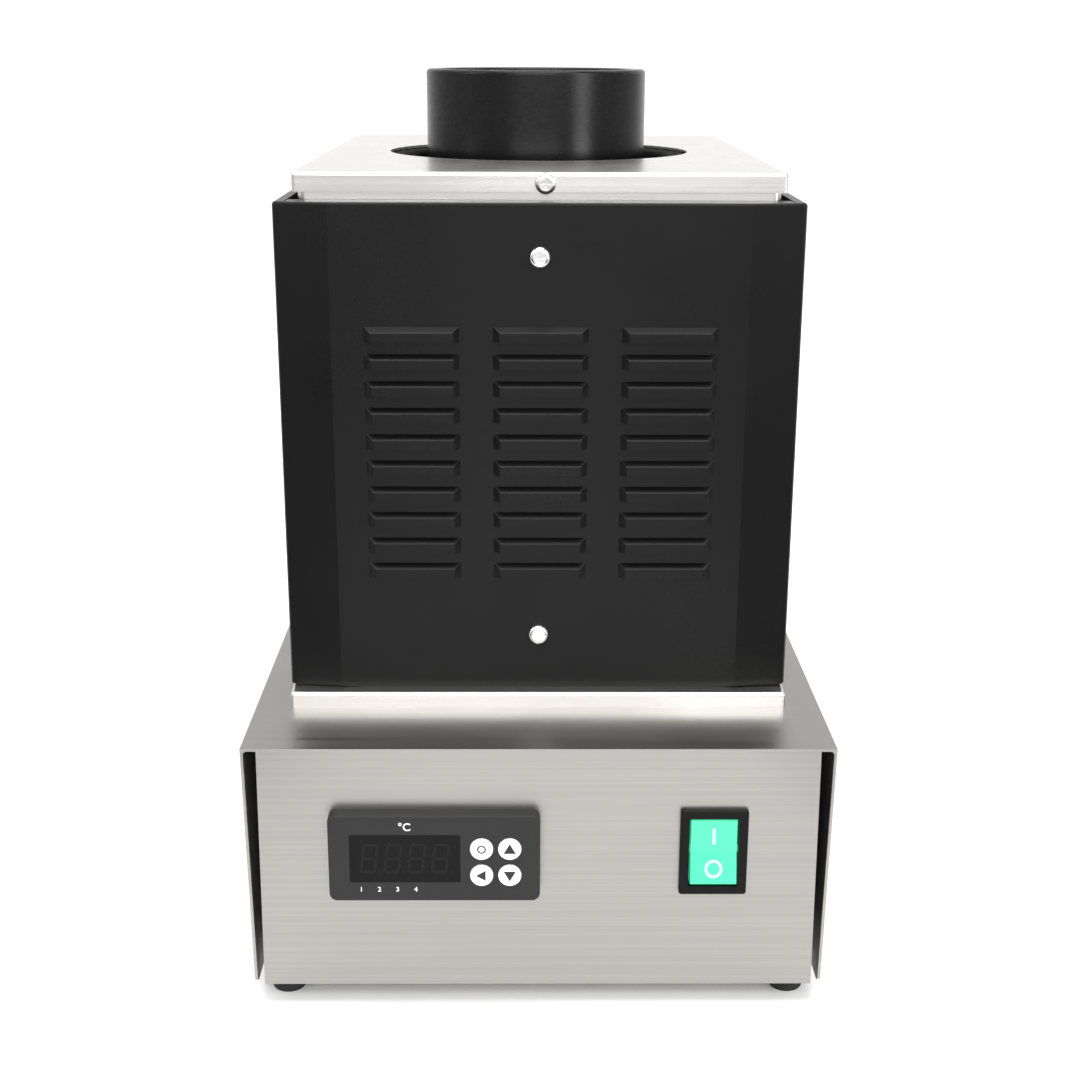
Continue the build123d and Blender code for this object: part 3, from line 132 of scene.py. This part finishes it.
BRUSH_X, BRUSH_Y = (5, 1300, 1300), (1300, 5, 1300)
finish = {
    "brushed_stainless": surface("brushed_stainless", (0.375, 0.363, 0.347), 1.0, 0.36, grain=BRUSH_X,
                                 grain_side=BRUSH_Y, col_var=0.07, rough_var=0.07, bump=0.10, depth=0.00006),
    "polished_stainless": surface("polished_stainless", (0.72, 0.71, 0.695), 1.0, 0.28, grain=BRUSH_X,
                                  grain_side=BRUSH_Y, col_var=0.012, rough_var=0.025, bump=0.012, depth=0.00003),
    "screw_steel": surface("screw_steel", (0.80, 0.80, 0.80), 1.0, 0.22, grain=(900, 900, 900), col_var=0.03, bump=0.05),
    "foot_rubber": surface("foot_rubber", (0.016, 0.016, 0.016), 0.0, 0.7, 0.3, grain=(1500, 1500, 1500), bump=0.3),
    "controller_plastic": surface("controller_plastic", (0.017, 0.017, 0.0175), 0.0, 0.55, 0.28,
                                  grain=(2600, 2600, 2600), bump=0.22, depth=0.00008),
    "dark_plastic": surface("dark_plastic", (0.012, 0.012, 0.012), 0.0, 0.45, 0.4, grain=(2000, 2000, 2000), bump=0.1),
    "smoked_window": surface("smoked_window", (0.0030, 0.0030, 0.0034), 0.0, 0.22, 0.15, bump=0.0, col_var=0.02, smudge=0.02),
    "board": surface("board", (0.01, 0.09, 0.03), 0.0, 0.4, 0.5, grain=(700, 700, 700), bump=0.05),
    "key_white": surface("key_white", (0.80, 0.80, 0.80), 0.0, 0.42, 0.4, grain=(1500, 1500, 1500), col_var=0.02, bump=0.04),
    "switch_black": surface("switch_black", (0.003, 0.003, 0.003), 0.0, 0.38, 0.14, grain=(1800, 1800, 1800), bump=0.06),
    "rocker_green": surface("rocker_green", (0.04, 0.42, 0.23), 0.0, 0.26, 0.3, grain=(40, 40, 40), col_var=0.05,
                            bump=0.02, coat=0.4, emit=(0.07, 0.72, 0.37), emit_strength=0.6),
    "terminal_brass": surface("terminal_brass", (0.72, 0.52, 0.22), 1.0, 0.3, grain=(600, 600, 600), bump=0.05),
    "heat_sink": surface("heat_sink", (0.72, 0.73, 0.74), 1.0, 0.38, grain=(5, 900, 900), bump=0.08),
    "relay_body": surface("relay_body", (0.55, 0.55, 0.53), 0.0, 0.5, grain=(1200, 1200, 1200), bump=0.08),
    "porcelain": surface("porcelain", (0.80, 0.78, 0.72), 0.0, 0.25, grain=(200, 200, 200), bump=0.03),
    "fibre_board": surface("fibre_board", (0.80, 0.78, 0.72), 0.0, 0.95, 0.2, grain=(900, 900, 250), col_var=0.08, bump=0.6),
    "dark_refractory": surface("dark_refractory", (0.006, 0.006, 0.006), 0.0, 0.9, 0.15, grain=(900, 900, 900), bump=0.4),
    "heater_wire": surface("heater_wire", (0.20, 0.18, 0.16), 1.0, 0.5, grain=(700, 700, 700), bump=0.1),
    "lead_insulation": surface("lead_insulation", (0.55, 0.10, 0.05), 0.0, 0.6, grain=(700, 700, 700), bump=0.1),
    "refractory": surface("refractory", (0.20, 0.17, 0.14), 0.0, 0.95, 0.2, grain=(700, 700, 700), col_var=0.15, bump=0.5),
    "graphite": surface("graphite", (0.003, 0.003, 0.0031), 0.0, 0.27, 0.26, grain=(400, 400, 900), col_var=0.03,
                        rough_var=0.03, bump=0.02, depth=0.00005),
    "black_paint": surface("black_paint", (0.003, 0.003, 0.0031), 0.0, 0.33, 0.21, grain=(1600, 1600, 1600),
                           col_var=0.05, rough_var=0.04, bump=0.10, depth=0.00008),
}
ink_dark = surface("ink_dark", (0.02, 0.02, 0.02), 0.0, 0.5, 0.3, bump=0.0)
ink_pale = surface("ink_pale", (0.35, 0.85, 0.68), 0.0, 0.35, 0.4, bump=0.0, emit=(0.35, 0.95, 0.72), emit_strength=0.35)
ink_white = surface("ink_white", (0.75, 0.75, 0.75), 0.0, 0.5, 0.3, bump=0.0)
segment_off = surface("segment_off", (0.0075, 0.007, 0.0068), 0.0, 0.35, 0.16, bump=0.0)

for row in frame["record"]["subparts"]:
    mesh = nodes[row["node"]].data
    mesh.materials.clear()
    mesh.materials.append(finish[row["material_slot"]])


# ------------------------------------------------------------------ printed and moulded marks
def marks(name, target, polygons, mat, body, proud=0.00008, sunk=0.00025):
    """Thin raised marks on the outside of a CAD piece, each polygon given by its x and z as seen from the front."""
    mesh = nodes[target].data
    tree = BVHTree.FromPolygons([v.co for v in mesh.vertices], [p.vertices for p in mesh.polygons])
    verts, faces = [], []
    for poly in polygons:
        base, n = len(verts), len(poly)
        front, back = [], []
        for x, z in poly:
            hit, normal, _, _ = tree.ray_cast(Vector((x, -1.0, z)), Vector((0, 1, 0)))
            front.append(hit + normal * proud)
            back.append(hit - normal * sunk)
        verts += front + back
        faces.append(list(range(base, base + n)))
        faces.append(list(range(base + 2 * n - 1, base + n - 1, -1)))
        for i in range(n):
            j = (i + 1) % n
            faces.append([base + i, base + n + i, base + n + j, base + j])
    out = bpy.data.meshes.new(name)
    out.from_pydata([tuple(v) for v in verts], [], faces)
    out.validate()
    out.materials.append(mat)
    piece = bpy.data.objects.new(name, out)
    scene.collection.objects.link(piece)
    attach(piece, body)
    return piece


def ring(x, z, r1, r2, n=28):
    at = lambda r, i: (x + r * math.cos(2 * math.pi * i / n), z + r * math.sin(2 * math.pi * i / n))
    return [[at(r1, i), at(r2, i), at(r2, i + 1), at(r1, i + 1)] for i in range(n)]


def digit(x, z, w, h, t):
    """The seven bars of one display digit with its point, leaning a little to the right."""
    lean = 0.12
    g = t * 0.12
    bars = []

    def bar(x1, z1, x2, z2):
        if abs(x2 - x1) > abs(z2 - z1):
            pts = [(x1 + g, z1), (x1 + g + t / 2, z1 + t / 2), (x2 - g - t / 2, z1 + t / 2), (x2 - g, z1),
                   (x2 - g - t / 2, z1 - t / 2), (x1 + g + t / 2, z1 - t / 2)]
        else:
            pts = [(x1, z1 + g), (x1 - t / 2, z1 + g + t / 2), (x1 - t / 2, z2 - g - t / 2), (x1, z2 - g),
                   (x1 + t / 2, z2 - g - t / 2), (x1 + t / 2, z1 + g + t / 2)]
        bars.append([(x + px + lean * pz, z + pz) for px, pz in pts])

    for pz in (-h / 2, 0, h / 2):
        bar(-w / 2, pz, w / 2, pz)
    for px in (-w / 2, w / 2):
        bar(px, -h / 2, px, 0)
        bar(px, 0, px, h / 2)
    dot_x, dot_z, r = x + w / 2 + t * 1.1, z - h / 2, t * 0.45
    bars.append([(dot_x + r * math.cos(a * math.pi / 4), dot_z + r * math.sin(a * math.pi / 4)) for a in range(8)])
    return bars


lo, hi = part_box("display_window")
w_mid, h_mid, w_win, h_win = (lo.x + hi.x) / 2, (lo.z + hi.z) / 2, hi.x - lo.x, hi.z - lo.z
cells = []
for i in range(4):
    cells += digit(w_mid + (i - 1.5) * w_win * 0.215, h_mid, w_win * 0.125, h_win * 0.58, w_win * 0.026)
marks("display_segments", "display_window", cells, segment_off, "housing", proud=0.00003)

for key, up in (("up_key", 1), ("down_key", -1)):
    lo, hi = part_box(key)
    x, z, r = (lo.x + hi.x) / 2, (lo.z + hi.z) / 2, (hi.x - lo.x) * 0.24
    marks(key + "_arrow", key, [[(x - r, z - up * r * 0.75), (x + r, z - up * r * 0.75), (x, z + up * r)][::up]],
          ink_dark, key, proud=0.00004)

lo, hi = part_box("set_key")
marks("set_key_ring", "set_key", ring((lo.x + hi.x) / 2, (lo.z + hi.z) / 2, 0.0011, 0.0016), ink_dark, "set_key",
      proud=0.00004)
lo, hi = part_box("shift_key")
x, z, r = (lo.x + hi.x) / 2, (lo.z + hi.z) / 2, (hi.x - lo.x) * 0.22
marks("shift_key_arrow", "shift_key", [[(x - r, z), (x + r * 0.7, z - r), (x + r * 0.7, z + r)]], ink_dark, "shift_key",
      proud=0.00004)


def label(name, text, x, z, size, y, body="housing"):
    """Small plain printed characters on a front face."""
    curve = bpy.data.curves.new(name, "FONT")
    curve.body = text
    curve.size = size
    curve.extrude = 0.00006
    curve.align_x, curve.align_y = "CENTER", "CENTER"
    curve.offset = size * 0.012
    curve.materials.append(ink_white)
    piece = bpy.data.objects.new(name, curve)
    piece.rotation_euler = (math.pi / 2, 0, 0)
    piece.location = (x, y, z)
    scene.collection.objects.link(piece)
    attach(piece, body)


b_lo, b_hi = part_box("controller_bezel")
d_lo, d_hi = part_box("display_window")
label("unit_label", "\u00b0C", d_lo.x + (d_hi.x - d_lo.x) * 0.5, d_hi.z + 0.0030, 0.0042, b_lo.y)
for i in range(4):
    label("channel_label_%d" % (i + 1), str(i + 1), d_lo.x + (d_hi.x - d_lo.x) * (0.10 + 0.165 * i), d_lo.z - 0.0029,
          0.0026, b_lo.y)

lo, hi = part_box("rocker")
x, z1, z2 = (lo.x + hi.x) / 2, lo.z + (hi.z - lo.z) * 0.74, lo.z + (hi.z - lo.z) * 0.27
marks("rocker_on_mark", "rocker", [[(x - 0.0006, z1 - 0.0032), (x + 0.0006, z1 - 0.0032), (x + 0.0006, z1 + 0.0032),
                                   (x - 0.0006, z1 + 0.0032)]], ink_pale, "rocker")
marks("rocker_off_mark", "rocker", ring(x, z2, 0.0022, 0.0033), ink_pale, "rocker")

# ------------------------------------------------------------------ floor and backdrop in one sweep
profile = [(-7.0, 0.0), (2.2, 0.0)]
for i in range(1, 17):
    a = math.pi / 2 * i / 16
    profile.append((2.2 + 1.6 * math.sin(a), 1.6 - 1.6 * math.cos(a)))
profile.append((3.8, 6.5))
verts = [(sx * 8.0, y, z) for y, z in profile for sx in (-1, 1)]
faces = [(2 * i, 2 * i + 1, 2 * i + 3, 2 * i + 2) for i in range(len(profile) - 1)]
sweep_mesh = bpy.data.meshes.new("studio_sweep")
sweep_mesh.from_pydata(verts, [], faces)
for p in sweep_mesh.polygons:
    p.use_smooth = True
sweep_mesh.materials.append(surface("paper_white", (0.86, 0.86, 0.86), 0.0, 0.85, 0.1, grain=(60, 60, 60), col_var=0.004,
                                    rough_var=0.02, bump=0.0))
sweep = bpy.data.objects.new("studio_sweep", sweep_mesh)
scene.collection.objects.link(sweep)

# ------------------------------------------------------------------ light
world = bpy.data.worlds.new("studio")
scene.world = world
world.use_nodes = True
world.node_tree.nodes["Background"].inputs["Color"].default_value = (1.0, 1.0, 1.0, 1.0)
world.node_tree.nodes["Background"].inputs["Strength"].default_value = 0.62


def softbox(name, place, aim, width, height, power, color=(1, 1, 1)):
    data = bpy.data.lights.new(name, "AREA")
    data.shape = "RECTANGLE"
    data.size, data.size_y = width, height
    data.energy = power
    data.color = color
    lamp = bpy.data.objects.new(name, data)
    lamp.location = place
    lamp.rotation_euler = (Vector(aim) - Vector(place)).to_track_quat("-Z", "Y").to_euler()
    scene.collection.objects.link(lamp)


softbox("top_light", (0.0, -0.25, 1.8), (0.0, 0.0, 0.1), 1.3, 0.8, 19)
softbox("front_light", (0.0, -1.8, 1.75), (0.0, 0.0, 0.2), 1.6, 0.5, 12)
softbox("fill_light", (0.0, -1.7, 0.80), (0.0, 0.0, 0.2), 1.5, 0.6, 13)
softbox("right_light", (1.55, -1.35, 0.9), (0.0, 0.0, 0.2), 0.55, 1.5, 20)
softbox("left_light", (-1.6, -0.5, 1.2), (0.0, 0.0, 0.2), 0.5, 1.4, 7)
softbox("wall_light", (0.0, 0.9, 1.9), (0.0, 2.8, 0.0), 4.0, 0.8, 45)


def flag(name, x1, x2, y1, y2, z, shade):
    """A dark card lying in front of the object, seen only in its glossy surfaces."""
    card = bpy.data.meshes.new(name)
    card.from_pydata([(x1, y1, z), (x2, y1, z), (x2, y2, z), (x1, y2, z)], [], [(0, 1, 2, 3)])
    card.materials.append(surface(name, (shade, shade, shade), 0.0, 0.9, 0.0, bump=0.0))
    card = bpy.data.objects.new(name, card)
    scene.collection.objects.link(card)
    card.visible_camera = card.visible_diffuse = card.visible_shadow = card.visible_transmission = False


flag("left_flag", -1.3, -0.17, -1.6, -0.30, 0.004, 0.04)
flag("right_flag", 0.17, 0.75, -1.6, -0.30, 0.004, 0.06)

# ------------------------------------------------------------------ camera
tilt, yaw, roll = math.radians(16.893), math.radians(0.577), math.radians(0.25)
look = Vector((math.sin(yaw) * math.cos(tilt), math.cos(yaw) * math.cos(tilt), -math.sin(tilt)))
right = look.cross(Vector((0, 0, 1))).normalized()
up = right.cross(look)
right2 = right * math.cos(roll) + up * math.sin(roll)
up2 = -right * math.sin(roll) + up * math.cos(roll)
data = bpy.data.cameras.new("camera")
data.lens, data.sensor_width = 54.82, 36.0
data.clip_start, data.clip_end = 0.01, 50
camera = bpy.data.objects.new("camera", data)
camera.matrix_world = Matrix(((right2.x, up2.x, -look.x, -0.0054), (right2.y, up2.y, -look.y, -0.6903),
                              (right2.z, up2.z, -look.z, 0.3432), (0, 0, 0, 1)))
scene.collection.objects.link(camera)
scene.camera = camera
scene.view_settings.view_transform = "Standard"
